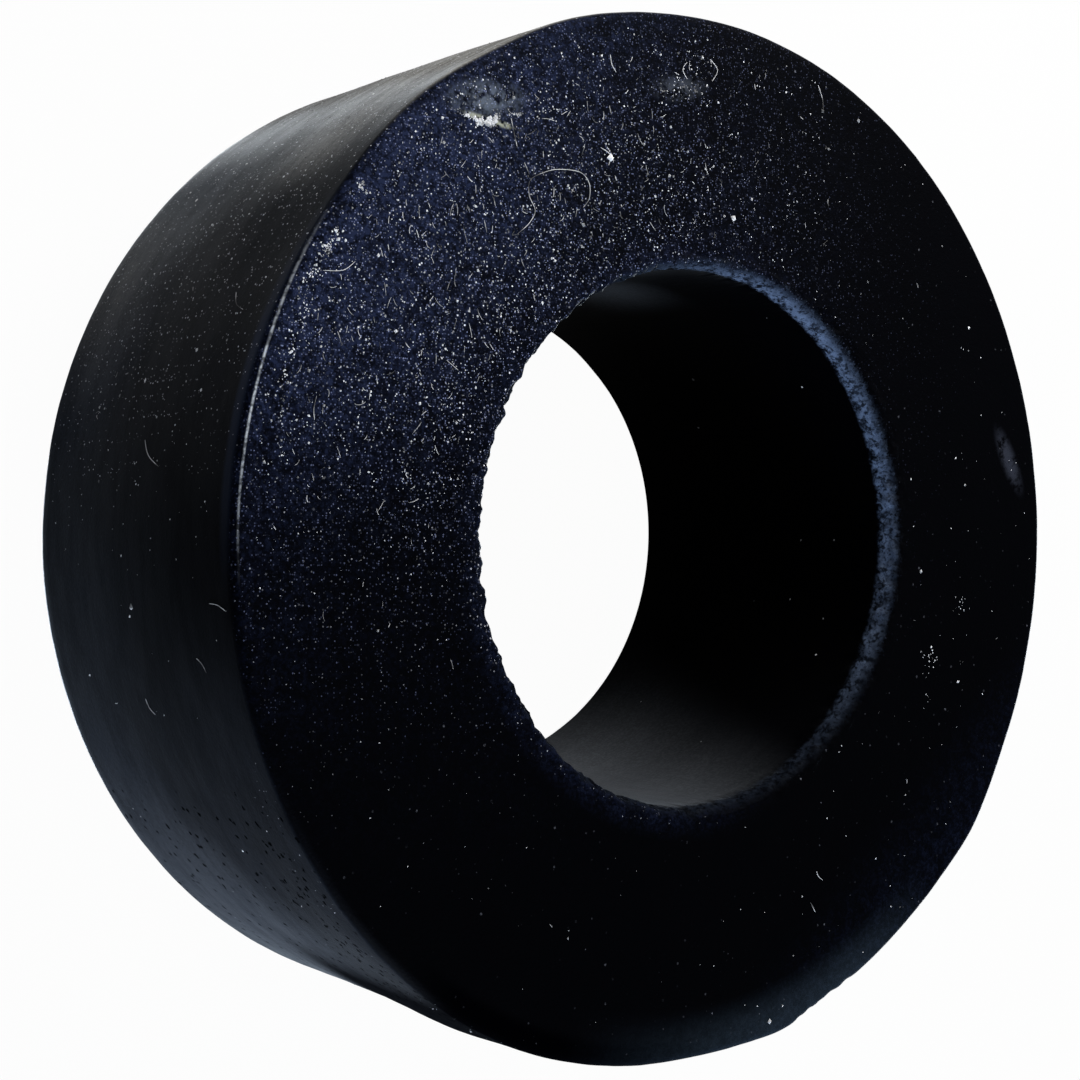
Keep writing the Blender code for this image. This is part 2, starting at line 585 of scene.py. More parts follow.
class RubberFinish:
    """The rubber's finish: what all of it shares, then the upper face, then the wall and the bore.

    Places are in millimetres and azimuths in radians, as in RingPlaces.
    """

    # Scales of the noises and cells, for each millimetre
    PATCH_SCALE = 0.17
    BRUSH_SCALE = 0.9
    STREAK_SCALE = 1.6
    MARK_SCALE = 1.9
    GRAIN_SCALE = 4.4
    GRIT_SCALE = 5.0
    FINE_SCALE = 8.5
    RELIEF_HEIGHT = 0.06 * MM
    SPECULAR_LEVEL = 0.016
    SPECULAR_TINT = (0.70, 0.80, 1.0)
    SHEEN_ROUGHNESS = 0.18
    SHEEN_TINT = (0.82, 0.91, 1.0)

    def __init__(self, graph, settings):
        self.graph = graph
        self.settings = settings
        self.outer = OUTER_RADIUS / MM
        self.bore = BORE_RADIUS / MM
        self.top = TOP / MM
        places = RingPlaces(graph, settings.bore_shift)
        self.places = places
        self.on_face = graph.smooth(places.z, self.top - 0.45, self.top - 0.12)
        self.streaks = graph.noise(places.point, self.STREAK_SCALE, 0.7)
        self.grit = graph.noise(places.point, self.GRIT_SCALE, 0.72)
        self.patches = graph.noise(places.point, self.PATCH_SCALE, 0.6)
        self.mottle = 0.35 + graph.smooth(self.grit, 0.40, 0.66) * 1.2
        # Grains lie one to a cell, and show where the cell's own number is under the dust's density
        grain_cells = graph.cells(places.point, self.GRAIN_SCALE)
        self.grain_distance, self.grain_number, self.grain_shade = grain_cells
        mark_cells = graph.cells(places.point, self.MARK_SCALE)
        self.mark_distance, self.mark_number, self.mark_shade = mark_cells
        self.rim = self.worn_rim()
        self.crumbs = self.rim * self.crumb_share()
        self.painted_shade_wall = self.find_painted_shade_wall()
        near_wall = graph.smooth(places.radius, self.outer - 1.7, self.outer - 0.9)
        # Painted shade: the outer edge of the face beside that stretch loses its sheen too
        self.calm_edge = self.painted_shade_wall * near_wall * 0.95

    def worn_rim(self):
        """1 along the bore's frayed upper edge."""
        graph = self.graph
        places = self.places
        across = (places.bore_radius - self.bore) / 0.95 + (places.z - self.top) / 1.35
        across = across + (self.grit - 0.5) * 1.3 + (self.streaks - 0.5) * 1.2
        rim = graph.bump_at(across, -0.42, 1.15)
        rim = rim * graph.smooth(places.bore_radius, self.bore + 1.9, self.bore + 1.3)
        return rim * graph.smooth(places.z, self.top - 1.5, self.top - 1.1)

    def crumb_share(self):
        """How pale the frayed edge is: palest where it turns over at azimuth 180, and in its lumps."""
        graph = self.graph
        pale_side = graph.smooth(self.places.x, 9.0, -10.0) * graph.smooth(self.places.y, 14.0, -1.0)
        lumps = graph.smooth(self.grit * 0.45 + self.streaks * 0.55, 0.42, 0.57)
        return (0.06 + pale_side * 0.94) * (0.08 + lumps * 0.80 + self.grain_shade ** 4.0 * 0.5)

    def find_painted_shade_wall(self):
        """1 on the upper part of the wall towards +Y, where painted shade takes the film and the sheen
        off.
        """
        graph = self.graph
        azimuth = self.places.azimuth
        side = graph.smooth(azimuth, 0.82, 1.0) * graph.smooth(azimuth, 1.95, 1.25)
        return side * graph.smooth(self.places.z, 6.0, 13.0)

    def grain_shape(self, limit, softness):
        """1 on each grain whose cell's number is under a limit."""
        graph = self.graph
        size = 0.14 + self.grain_number * 0.34
        grain = graph.smooth(self.grain_distance, size, size * 0.5)
        return grain * graph.smooth(self.grain_number, limit, limit - softness)

    def surface(self):
        """Face and sides are two surfaces, so that a place works out only the marks of its own."""
        relief = self.grit * (0.35 + self.on_face * 0.65)
        bump = self.graph.node(
            "ShaderNodeBump", None, {"Strength": 0.55, "Distance": self.RELIEF_HEIGHT, "Height": relief}
        )
        normal = bump.outputs[0]
        return self.graph.mix_shader(self.on_face, self.side(normal), self.face(normal))

    def face(self, normal):
        """The upper face: a bluish bloom, dust, smears, small marks, painted highlights and painted shade.
        """
        graph = self.graph
        cover = self.face_cover()
        near_rim, near_dust = self.near_side(cover)
        bloom = self.bloom(cover, near_rim, near_dust)
        shaded = graph.mix(bloom, self.settings.rubber_colour, self.settings.bloom_colour)
        # Bluish bloom and a painted highlight along the outer edge towards +Y
        shaded = graph.mix(self.edge_bloom_and_painted_highlight(), shaded, EDGE_BLOOM_AND_HIGHLIGHT_COLOUR)
        shaded = graph.mix(self.crumbs, shaded, self.settings.crumb_colour)
        for middle, half_sizes, turn, streak_range, strength, tint in FACE_SMEARS:
            smear = self.places.spot(middle, half_sizes, turn) * graph.smooth(self.streaks, *streak_range)
            shaded = graph.mix(smear * strength, shaded, tint)
        shaded = graph.mix(self.faint_marks() * 0.30, shaded, MARK_COLOUR)
        # Dust and a painted highlight along the thin lip
        shaded = graph.mix(self.lip_line(), shaded, LIP_DUST_AND_HIGHLIGHT_COLOUR)
        # Painted shade: a dark line for the crease inside the lip
        shaded = graph.mix(self.crease() * 0.75, shaded, self.settings.rubber_colour)
        shaded = graph.mix(self.fine_dust(cover, near_dust) * 0.45, shaded, self.settings.fine_dust_colour)
        grains = self.face_grains(cover, near_rim, near_dust)
        shaded = graph.mix(grains, shaded, self.settings.dust_colour)
        roughness = 0.61 + grains * 0.2 + self.rim * 0.2 + self.patches * 0.1
        return self.rubber(shaded, roughness, normal, self.calm_edge)

    def face_cover(self):
        """How thickly dust lies on the face: thickest towards -Y, and thin towards +Y and -X."""
        graph = self.graph
        places = self.places
        cover = graph.smooth(places.y, 14.0, -10.0) ** 3.0 * graph.smooth(places.x, -18.0, 16.0)
        # Painted shade: thinner dust towards the far -Y edge, where the lamp lights the face more strongly
        cover = cover * (1.0 - graph.smooth(places.y, -20.0, -27.0) * 0.45)
        thin_edge = graph.smooth(places.radius, 23.0, 28.0) * graph.smooth(places.y, -12.0, 0.0)
        return cover * (1.0 - thin_edge * 0.6)

    def near_side(self, cover):
        """The thinner dust towards +X: close to the bore's edge, and further out."""
        graph = self.graph
        places = self.places
        near_rim = graph.smooth(places.bore_radius, self.bore + 2.0, self.bore + 0.5)
        near_rim = near_rim * graph.smooth(places.x, -7.0, 5.0) * (1.0 - cover * 0.7)
        near_dust = graph.smooth(places.x, 2.0, 15.0) * graph.smooth(places.y, 22.0, 0.0)
        return near_rim, near_dust * (1.0 - cover * 0.9)

    def bloom(self, cover, near_rim, near_dust):
        """How strong the bluish bloom is on the face."""
        graph = self.graph
        places = self.places
        thick = graph.smooth(places.x * 0.8 - places.y * 0.6, 15.0, 27.0)
        far_haze = graph.smooth(places.y * 0.75 - places.x * 0.66, 22.0, 31.0)
        edge = graph.smooth(places.radius, self.outer - 7.0, self.outer - 2.0)
        edge = edge * graph.smooth(places.y, 13.0, -3.0) * graph.smooth(places.x, 2.0, 18.0)
        edge = edge * (0.2 + self.patches)
        blots = places.spot((24.0, -15.2), (3.6, 1.7), 62.0) + places.spot((26.3, -10.6), (3.2, 1.3), 72.0)
        blots = blots * graph.smooth(self.streaks, 0.36, 0.60)
        bloom = cover * (self.patches * 0.24 + thick * 0.44) + edge * 0.14 + blots * 0.40 + 0.001
        bloom = bloom + far_haze * 0.13 + near_rim * 0.16 + near_dust * 0.03
        return bloom * self.mottle * (0.45 + graph.smooth(self.streaks, 0.36, 0.62) * 1.1)

    def edge_bloom_and_painted_highlight(self):
        """Bluish bloom and a painted highlight along the outer edge, round azimuth 1.9."""
        graph = self.graph
        azimuth = self.places.azimuth
        haze = graph.smooth(self.places.radius, 26.6, 29.4)
        haze = haze * graph.smooth(azimuth, 1.22, 1.82) * graph.smooth(azimuth, 2.35, 1.98)
        return haze * (0.14 + self.mottle * 0.10 + self.streaks * 0.34)

    def face_grains(self, cover, near_rim, near_dust):
        """Dust grains on the face, brighter where they lie thickly and towards the bore."""
        graph = self.graph
        towards_bore = 1.0 - graph.smooth(self.places.radius, 21.0, 28.0) * 0.35
        light = (0.16 + graph.smooth(cover, 0.0, 0.55) * 0.84) * towards_bore
        light = light + near_rim * 0.30 + near_dust * 0.26
        grains = self.grain_shape(0.05 + cover * 0.47 + near_rim * 0.30 + near_dust * 0.34, 0.10)
        return grains * (0.14 + self.grain_shade * self.grain_shade * 0.95) * light

    def fine_dust(self, cover, near_dust):
        """The finest dust on the face, in smaller cells."""
        graph = self.graph
        places = self.places
        veil = graph.smooth(places.y, 17.0, -10.0) * graph.smooth(places.x, -27.0, 4.0) * 0.9
        distance, number, shade = graph.cells(places.point, self.FINE_SCALE)
        fine = graph.smooth(distance, 0.46, 0.24) * graph.smooth(number, veil, veil - 0.15)
        return fine * shade ** 4.0 * (0.10 + cover * 0.90 + near_dust * 0.30)

    def faint_marks(self):
        """Soft faint marks that stand apart all over the face."""
        graph = self.graph
        size = 0.08 + self.mark_number * 0.34
        marks = graph.smooth(self.mark_distance, size, 0.02) * graph.smooth(self.mark_number, 0.46, 0.40)
        return marks * self.mark_shade ** 3.0 * graph.smooth(self.grit, 0.38, 0.60)

    def lip_line(self):
        """A pale line along the thin lip on the outer edge: dust and a painted highlight."""
        graph = self.graph
        places = self.places
        line = graph.bump_at(places.radius, self.outer - 0.40, 0.09)
        line = line * graph.smooth(places.z, self.top - 0.9, self.top - 0.6)
        line = line * graph.bump_at(places.azimuth, -0.26, 0.36)
        return line * (0.20 + graph.smooth(self.streaks, 0.40, 0.56) * 0.80)

    def crease(self):
        """Painted shade in a crease inside that lip: a dark line, with no groove in the shape."""
        uneven_radius = self.places.radius + self.streaks * 1.4
        crease = self.graph.bump_at(uneven_radius, self.outer - 1.05, 0.26)
        return crease * self.graph.bump_at(self.places.azimuth, -0.27, 0.20)

    def side(self, normal):
        """The outer wall and the bore: a grey film, dust, painted sheen, painted light, grains and pits.
        """
        graph = self.graph
        places = self.places
        off_face = 1.0 - self.on_face
        on_wall = graph.smooth(places.radius, self.outer - 1.1, self.outer - 0.3) * off_face
        in_bore = graph.smooth(places.bore_radius, self.bore + 1.0, self.bore + 0.2) * off_face
        front = graph.smooth(places.x, -12.0, 10.0)
        strokes = graph.noise(places.drawn_out(0.22), self.BRUSH_SCALE, 0.65)
        brushed = graph.smooth(strokes, 0.34, 0.66)
        low_side = graph.smooth(places.z - places.azimuth * 20.0, 2.5, -3.5)
        painted_sheen_side = graph.smooth(places.azimuth, -1.62, -1.20)
        # The grey film, with painted sheen on the stretch towards +Y
        film = on_wall * self.wall_film_and_painted_sheen(front, brushed, low_side)
        shaded = graph.mix(film, self.settings.rubber_colour, self.settings.wall_colour)
        # Painted sheen and dust: a pale haze on the wall, broadest towards -Y
        haze = on_wall * front * self.wall_dust_and_painted_sheen(brushed, low_side, painted_sheen_side)
        shaded = graph.mix(haze, shaded, WALL_DUST_AND_PAINTED_SHEEN_COLOUR)
        shaded = graph.mix(self.crumbs, shaded, self.settings.crumb_colour)
        # Painted light: a grey pool on the bore's wall towards +Y, where the lamp shines in
        shaded = graph.mix(in_bore * self.bore_painted_light(brushed), shaded, BORE_PAINTED_LIGHT_COLOUR)
        shaded = graph.mix(on_wall * self.blue_strip(), shaded, STRIP_COLOUR)
        grains = on_wall * self.wall_grains(front)
        shaded = graph.mix(grains, shaded, self.settings.dust_colour)
        pits = on_wall * self.wall_pits(front)
        shaded = graph.mix(pits * 0.92, shaded, PIT_COLOUR)
        roughness = 0.32 + grains * 0.2 + self.rim * 0.2 + self.patches * 0.1
        calm = on_wall * self.calm_wall(pits, brushed, painted_sheen_side)
        calm = 1.0 - (1.0 - calm) * (1.0 - self.calm_edge)
        return self.rubber(shaded, roughness, normal, calm)

    def wall_film_and_painted_sheen(self, front, brushed, low_side):
        """The wall's grey film, thickest low down and towards -Y, with painted sheen added towards +Y."""
        graph = self.graph
        z = self.places.z
        azimuth = self.places.azimuth
        film = 0.06 + self.patches * 0.30 + graph.smooth(self.places.y, -2.0, -26.0) * 0.10
        # Painted sheen: more film on the stretch towards +Y, most of it low down
        film = film + graph.smooth(azimuth, 0.25, 0.85) * (0.14 + low_side * 0.62) * front
        low_film = graph.smooth(z, 13.0, 2.0) * (0.20 + graph.smooth(azimuth, 0.2, -0.2) * 0.85 * front)
        film = film + low_film * (1.0 - graph.bump_at(azimuth, -0.02, 0.35) * 0.88)
        film = film * (1.0 - graph.smooth(z, 5.0, 21.0) * graph.bump_at(azimuth, 0.04, 0.40) * 0.85)
        # Painted shade: almost no film on the upper part of the wall towards +Y
        film = film * (0.40 + front * 0.60) * (1.0 - self.painted_shade_wall * 0.95)
        return film * (0.42 + self.mottle * 0.45 + brushed * 0.26)

    def wall_dust_and_painted_sheen(self, brushed, low_side, painted_sheen_side):
        """Painted sheen and dust on the wall: a broad pale haze towards -Y and fainter patches beside it.
        """
        graph = self.graph
        z = self.places.z
        azimuth = self.places.azimuth
        high = graph.smooth(z, 6.0, 18.0)
        # The broad part is painted sheen, pale towards the wall's outline at -Y
        haze = graph.smooth(azimuth, -0.72, -1.0) * painted_sheen_side * (0.65 + high * 0.35)
        haze = haze + graph.bump_at(azimuth, -0.77, 0.16) * graph.bump_at(z, 17.6, 6.0) * 0.5
        haze = haze + graph.bump_at(azimuth, -0.50, 0.32) * graph.smooth(z, 10.0, 3.0) * 0.24
        haze = haze + graph.smooth(azimuth, 0.40, 0.70) * low_side * (1.0 - self.painted_shade_wall) * 0.05
        return haze * (0.30 + self.mottle * 0.30 + brushed * 0.20)

    def bore_painted_light(self, brushed):
        """Painted light in the bore: a grey pool towards +Y, palest low down, and a paler patch towards
        -Y.
        """
        graph = self.graph
        z = self.places.z
        azimuth = self.places.azimuth
        slanted = azimuth + z * math.radians(1.3)
        film = graph.smooth(slanted, 2.79, 1.95) * graph.smooth(azimuth, 0.6, 1.3)
        film = film * (0.38 + graph.smooth(z, 15.0, 2.0) * 0.62)
        film = film * graph.smooth(z, self.top - 0.5, self.top - 2.0)
        film = film + graph.bump_at(azimuth, -1.66, 0.34) * graph.bump_at(z, 10.5, 7.0) * 0.8
        return film * (0.62 + self.mottle * 0.32 + brushed * 0.12)

    def blue_strip(self):
        """A bluish strip under the lip on the outer edge."""
        graph = self.graph
        strip = graph.smooth(self.places.z, self.top - 1.4, self.top - 0.9)
        strip = strip * graph.bump_at(self.places.azimuth, -0.28, 0.42)
        return strip * (0.25 + self.patches * 0.5)

    def wall_grains(self, front):
        """Dust grains on the wall, down to about azimuth 0, and some along its upper edge beyond."""
        graph = self.graph
        limit = graph.smooth(self.places.y, 4.0, -13.0) * 0.60
        upper_edge = graph.bump_at(self.places.z, 22.4, 2.4)
        limit = limit + upper_edge * graph.smooth(self.places.azimuth, 0.30, 0.60) * front * 0.30
        return self.grain_shape(limit, 0.08) * self.grain_shade ** 2.0 * 1.12

    def wall_pits(self, front):
        """Small dark pits on the wall, most of them below its upper edge towards +Y."""
        graph = self.graph
        limit = graph.smooth(self.places.azimuth, 0.40, 0.62) * front
        limit = limit * (0.26 + graph.bump_at(self.places.z, 20.2, 3.0) * 0.60)
        distance = self.mark_distance + (self.grit - 0.5) * 0.8
        return graph.smooth(distance, 0.34, 0.20) * graph.smooth(self.mark_number, limit, limit - 0.04)

    def calm_wall(self, pits, brushed, painted_sheen_side):
        """Where the wall has less sheen: a few stretches, the brushed streaks, the pits and the painted
        sheen.
        """
        graph = self.graph
        z = self.places.z
        azimuth = self.places.azimuth
        high = graph.smooth(z, 6.0, 18.0)
        calm = graph.bump_at(azimuth, -0.73, 0.16) * (1.0 - high) * 0.45
        calm = calm + graph.bump_at(azimuth, -0.60, 0.18) * high * 0.35
        calm = calm + graph.bump_at(azimuth, 0.04, 0.45) * graph.smooth(z, 5.0, 21.0) * 0.55
        calm = 1.0 - (1.0 - calm) * (1.0 - pits * 0.9) * (0.84 + brushed * 0.20)
        return calm + graph.smooth(azimuth, -0.86, -1.04) * painted_sheen_side * 0.85

    def rubber(self, shaded, roughness, normal, calm):
        """Rubber with a bluish sheen, and matt where calm is 1."""
        glossy = self.graph.node(
            "ShaderNodeBsdfPrincipled",
            None,
            {
                "Base Color": shaded,
                "Roughness": roughness,
                "Normal": normal,
                "Specular IOR Level": self.SPECULAR_LEVEL,
                "Specular Tint": colour(self.SPECULAR_TINT),
                "Sheen Weight": 1.0,
                "Sheen Roughness": self.SHEEN_ROUGHNESS,
                "Sheen Tint": colour(self.SHEEN_TINT),
            },
        )
        matt = self.graph.node(
            "ShaderNodeBsdfPrincipled",
            None,
            {
                "Base Color": shaded,
                "Roughness": 0.9,
                "Diffuse Roughness": 0.4,
                "Normal": normal,
                "Specular IOR Level": 0.0,
            },
        )
        return self.graph.mix_shader(calm, glossy.outputs[0], matt.outputs[0])


def rubber_material(settings):
    """Black rubber under a bluish bloom, with fine dust that is thickest towards one side."""
    material, graph = new_material("dusty_black_rubber")
    surface = RubberFinish(graph, settings).surface()
    graph.node("ShaderNodeOutputMaterial", None, {"Surface": surface})
    return material


def plain_dust_material(name, tint):
    """Matt and mottled, for flecks and lint."""
    material, graph = new_material(name)
    coordinates = graph.node("ShaderNodeTexCoord")
    mottle = graph.noise(coordinates.outputs["Object"], DUST_MOTTLE_SCALE)
    darker = tuple(DARK_SHARE * part for part in tint)
    shaded = graph.mix(graph.smooth(mottle, 0.34, 0.62), darker, tint)
    shader = graph.node(
        "ShaderNodeBsdfPrincipled",
        None,
        {"Base Color": shaded, "Roughness": 0.9, "Specular IOR Level": 0.2},
    )
    graph.node("ShaderNodeOutputMaterial", None, {"Surface": shader.outputs[0]})
    return material


def floor_material(settings):
    """A plain pale floor that is near white to the camera and still takes the ring's shadow."""
    material, graph = new_material("pale_floor")
    path = graph.node("ShaderNodeLightPath")
    camera = Value(graph, path.outputs["Is Camera Ray"])
    glossy = Value(graph, path.outputs["Is Glossy Ray"])
    transmission = Value(graph, path.outputs["Is Transmission Ray"])
    share = camera * settings.white_share + (glossy + transmission) * settings.mirror_share
    plain = graph.node("ShaderNodeBsdfDiffuse", None, {"Color": colour(settings.floor_colour)})
    white = graph.node("ShaderNodeEmission", None, {"Color": colour(WHITE), "Strength": 1.0})
    surface = graph.mix_shader(share, plain.outputs[0], white.outputs[0])
    graph.node("ShaderNodeOutputMaterial", None, {"Surface": surface})
    return material


def soft_step(value, low, high):
    """0 below low and 1 above high, for numbers and arrays."""
    share = np.clip((value - low) / (high - low), 0.0, 1.0)
    return share * share * (3.0 - 2.0 * share)


def turn_between(azimuth, middle):
    """Degrees from middle to azimuth, the short way round."""
    return (azimuth - middle + 180.0) % 360.0 - 180.0


def quarter(pointing, steps):
    """Angles round a quarter circle, clockwise, about the way that a corner points."""
    first = math.atan2(pointing[1], pointing[0]) + math.pi / 4
    return [first - step / steps * math.pi / 2 for step in range(steps + 1)]


class RingSection:
    """The ring's outline at one azimuth: its points, and the way out of the rubber at each."""

    OUTER_EDGE_STEPS = 10
    WALL_STEPS = 34
    LOWER_EDGE_STEPS = 4
    LOWER_FACE_STEPS = 6
    BORE_STEPS = 15
    BORE_EDGE_STEPS = 16
    FACE_STEPS = 30
    BORE_CROWDING = 0.55
    FACE_CROWDING = 1.7
    WORN_SPREAD = 24.0
    FAR_SPREAD = 70.0

    def __init__(self, settings, azimuth):
        self.points = []
        self.outwards = []
        self.waiting = None
        outside = OUTER_RADIUS - WALL_INSET
        outer_edge = settings.outer_rounding
        lower_edge = settings.lower_outer_rounding
        lower_rim = settings.lower_bore_rounding
        shift = settings.bore_shift[0] * math.cos(azimuth) + settings.bore_shift[1] * math.sin(azimuth)
        from_worn = turn_between(math.degrees(azimuth - settings.worn_side), 0.0)
        wear = math.exp(-((from_worn / self.WORN_SPREAD) ** 2))
        from_far = turn_between(math.degrees(azimuth), 180.0)
        far = math.exp(-((from_far / self.FAR_SPREAD) ** 2))
        self.bore = BORE_RADIUS + shift
        self.rim_width = settings.rim_width + settings.far_rim[0] * far + settings.rim_wear * wear
        self.rim_depth = settings.rim_depth + settings.far_rim[1] * far
        self.edge((outside, TOP), (outer_edge, outer_edge), (1, 1), self.OUTER_EDGE_STEPS)
        self.flat(self.WALL_STEPS, 1.0)
        self.edge((outside, 0.0), (lower_edge, lower_edge), (1, -1), self.LOWER_EDGE_STEPS)
        self.flat(self.LOWER_FACE_STEPS, 1.0)
        self.edge((self.bore, 0.0), (lower_rim, lower_rim), (-1, -1), self.LOWER_EDGE_STEPS)
        self.flat(self.BORE_STEPS, self.BORE_CROWDING)
        self.edge((self.bore, TOP), (self.rim_width, self.rim_depth), (-1, 1), self.BORE_EDGE_STEPS)
        self.flat(self.FACE_STEPS, self.FACE_CROWDING)
        self.fill_to(self.points[0])

    def edge(self, corner, reach, pointing, steps):
        """A quarter oval, clockwise, in place of a sharp corner that points that way."""
        for angle in quarter(pointing, steps):
            radius = corner[0] + reach[0] * (math.cos(angle) - pointing[0])
            height = corner[1] + reach[1] * (math.sin(angle) - pointing[1])
            self.fill_to((radius, height))
            self.points.append((radius, height))
            self.outwards.append((math.cos(angle), math.sin(angle)))

    def flat(self, steps, crowding):
        """Leaves a straight stretch, which is filled once its far end is known."""
        self.waiting = (steps, crowding)

    def fill_to(self, end):
        if self.waiting is None:
            return
        steps, crowding = self.waiting
        self.waiting = None
        start = self.points[-1]
        outward = self.outwards[-1]
        for step in range(1, steps):
            share = (step / steps) ** crowding
            radius = start[0] + (end[0] - start[0]) * share
            height = start[1] + (end[1] - start[1]) * share
            self.points.append((radius, height))
            self.outwards.append(outward)


def fractal(point, size, octaves=3):
    """Soft seeded noise from about -1 to 1, whose largest waves are size wide."""
    return noise.fractal(point / size, 1.0, 2.0, octaves, noise_basis="PERLIN_ORIGINAL")


def edge_offset(azimuth, height, radius):
    """How far the marks and nicks move the upper outer edge outwards."""
    near_top = float(soft_step(height, HEIGHT - 9.0 * MM, HEIGHT - 1.0 * MM))
    if near_top <= 0.0 or radius < NEAR_WALL:
        return 0.0
    offset = 0.0
    for middle, half_width, depth in EDGE_MARKS:
        turn = turn_between(azimuth, middle) / half_width
        offset += depth * math.exp(-0.5 * turn * turn) * near_top
    at_edge = float(soft_step(height, HEIGHT - 1.6 * MM, HEIGHT - 0.7 * MM))
    for middle, half_width, depth in EDGE_NICKS:
        turn = turn_between(azimuth, middle) / half_width
        offset -= depth * math.exp(-0.5 * turn * turn) * at_edge
    return offset


def swell_offset(azimuth, height, radius):
    """How far the low swells move the wall outwards."""
    if radius < NEAR_WALL:
        return 0.0
    offset = 0.0
    for middle, half_width, middle_height, half_height, depth in WALL_SWELLS:
        turn = turn_between(azimuth, middle) / half_width
        rise = (height - middle_height) / half_height
        offset += depth * math.exp(-(turn * turn) - rise * rise)
    return offset


def lip_offset(settings, azimuth, height, radius):
    """The thin raised lip along one stretch of the upper outer edge."""
    turn = turn_between(azimuth, LIP_AZIMUTH) / LIP_HALF_WIDTH
    along = math.exp(-(turn ** 4))
    from_edge = math.hypot(radius - LIP_RADIUS, height - LIP_MIDDLE)
    across = math.exp(-((from_edge / LIP_THICKNESS) ** 2))
    return settings.lip_height * along * across


def crumb_offset(settings, point, azimuth, rim_share):
    """The frayed, crumbly surface of the bore's upper edge, with deeper notches round azimuth 0."""
    distances, _places = noise.voronoi(point / settings.crumb_size)
    crumb = 1.0 - min(1.0, distances[0] * 1.25)
    notched = 1.0 + settings.notching * math.exp(-((turn_between(azimuth, 0.0) / NOTCH_SPREAD) ** 2))
    ripple = fractal(point, RIPPLE_WIDTH, 2) * notched
    return rim_share * (settings.crumb_height * (crumb - 0.55) + settings.ripple_height * ripple)


def ring_points(settings):
    """The ring's points, one row for each azimuth, with every mark and wave on them."""
    rows = []
    for step in range(settings.turn_steps):
        angle = 2.0 * math.pi * step / settings.turn_steps
        azimuth = math.degrees(angle)
        cosine = math.cos(angle)
        sine = math.sin(angle)
        section = RingSection(settings, angle)
        row = []
        for (radius, height), (out_across, out_up) in zip(section.points, section.outwards):
            point = Vector((radius * cosine, radius * sine, height))
            offset = settings.unevenness * fractal(point, WAVE_WIDTH)
            offset += FINE_WAVE_SHARE * settings.unevenness * fractal(point, FINE_WAVE_WIDTH)
            if height < PLAIN_BELOW:
                offset = 0.0
            beyond_face = radius - (section.bore + section.rim_width)
            beyond_bore = (TOP - section.rim_depth) - height
            away = max(beyond_face, beyond_bore)
            rim_share = 1.0 - float(soft_step(away, -FRAYED_WITHIN, FRAYED_FADE))
            if radius > NEAR_WALL:
                rim_share = 0.0
            if rim_share > 0.0:
                offset += crumb_offset(settings, point, azimuth, rim_share)
            offset += lip_offset(settings, azimuth, height, radius)
            outward_shift = edge_offset(azimuth, height, radius)
            outward_shift += swell_offset(azimuth, height, radius)
            new_radius = radius + out_across * offset + outward_shift
            new_height = max(0.0, min(height + out_up * offset, HEIGHT))
            row.append((new_radius * cosine, new_radius * sine, new_height))
        rows.append(row)
    return rows


def grid_mesh(name, rows):
    """A closed mesh of quads through rows of points, joined end to end both ways."""
    row_count = len(rows)
    length = len(rows[0])
    points = [point for row in rows for point in row]
    faces = []
    for row in range(row_count):
        next_row = (row + 1) % row_count
        for place in range(length):
            next_place = (place + 1) % length
            faces.append(
                (
                    row * length + place,
                    row * length + next_place,
                    next_row * length + next_place,
                    next_row * length + place,
                )
            )
    mesh = bpy.data.meshes.new(name)
    mesh.from_pydata(points, [], faces)
    mesh.shade_smooth()
    return mesh


def add_object(name, data, material=None):
    """Puts a new object into the scene."""
    thing = bpy.data.objects.new(name, data)
    bpy.context.scene.collection.objects.link(thing)
    if material is not None:
        thing.data.materials.append(material)
    return thing


class OBJECT_OT_bushing_ring(bpy.types.Operator):
    """Makes the worn rubber ring in place of the plain solid"""

    bl_idname = "object.bushing_ring"
    bl_label = "Rubber ring"

    def execute(self, context):
        settings = context.scene.bushing_ring
        mesh = grid_mesh("rubber_ring", ring_points(settings))
        ring = add_object("rubber_ring", mesh, rubber_material(settings))
        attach(ring, BODY)
        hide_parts(NODE)
        return {"FINISHED"}


class RingSurface:
    """Finds the places on the ring where dust and lint lie, with the way out of the rubber there."""

    REACH = 1.0 * MM

    def __init__(self, ring):
        points = [corner.co for corner in ring.data.vertices]
        faces = [tuple(face.vertices) for face in ring.data.polygons]
        self.tree = BVHTree.FromPolygons(points, faces)

    def hit(self, start, direction):
        place, outward, _face, _distance = self.tree.ray_cast(start, direction)
        if place is None:
            raise RuntimeError("There is no rubber at this place of the ring")
        return place, outward

    def on_face(self, x, y):
        return self.hit(Vector((x, y, HEIGHT + self.REACH)), Vector((0.0, 0.0, -1.0)))

    def on_wall(self, degrees, height):
        out = self.way_out(degrees)
        start = out * (OUTER_RADIUS + self.REACH)
        start.z = height
        return self.hit(start, -out)

    def in_bore(self, degrees, height):
        return self.hit(Vector((0.0, 0.0, height)), self.way_out(degrees))

    def way_out(self, degrees):
        return Vector((math.cos(math.radians(degrees)), math.sin(math.radians(degrees)), 0.0))


def inside_solid_box(point):
    """The point, moved the little that keeps it inside the solid's box."""
    return tuple(min(max(point[side], LOW_CORNER[side]), HIGH_CORNER[side]) for side in range(3))


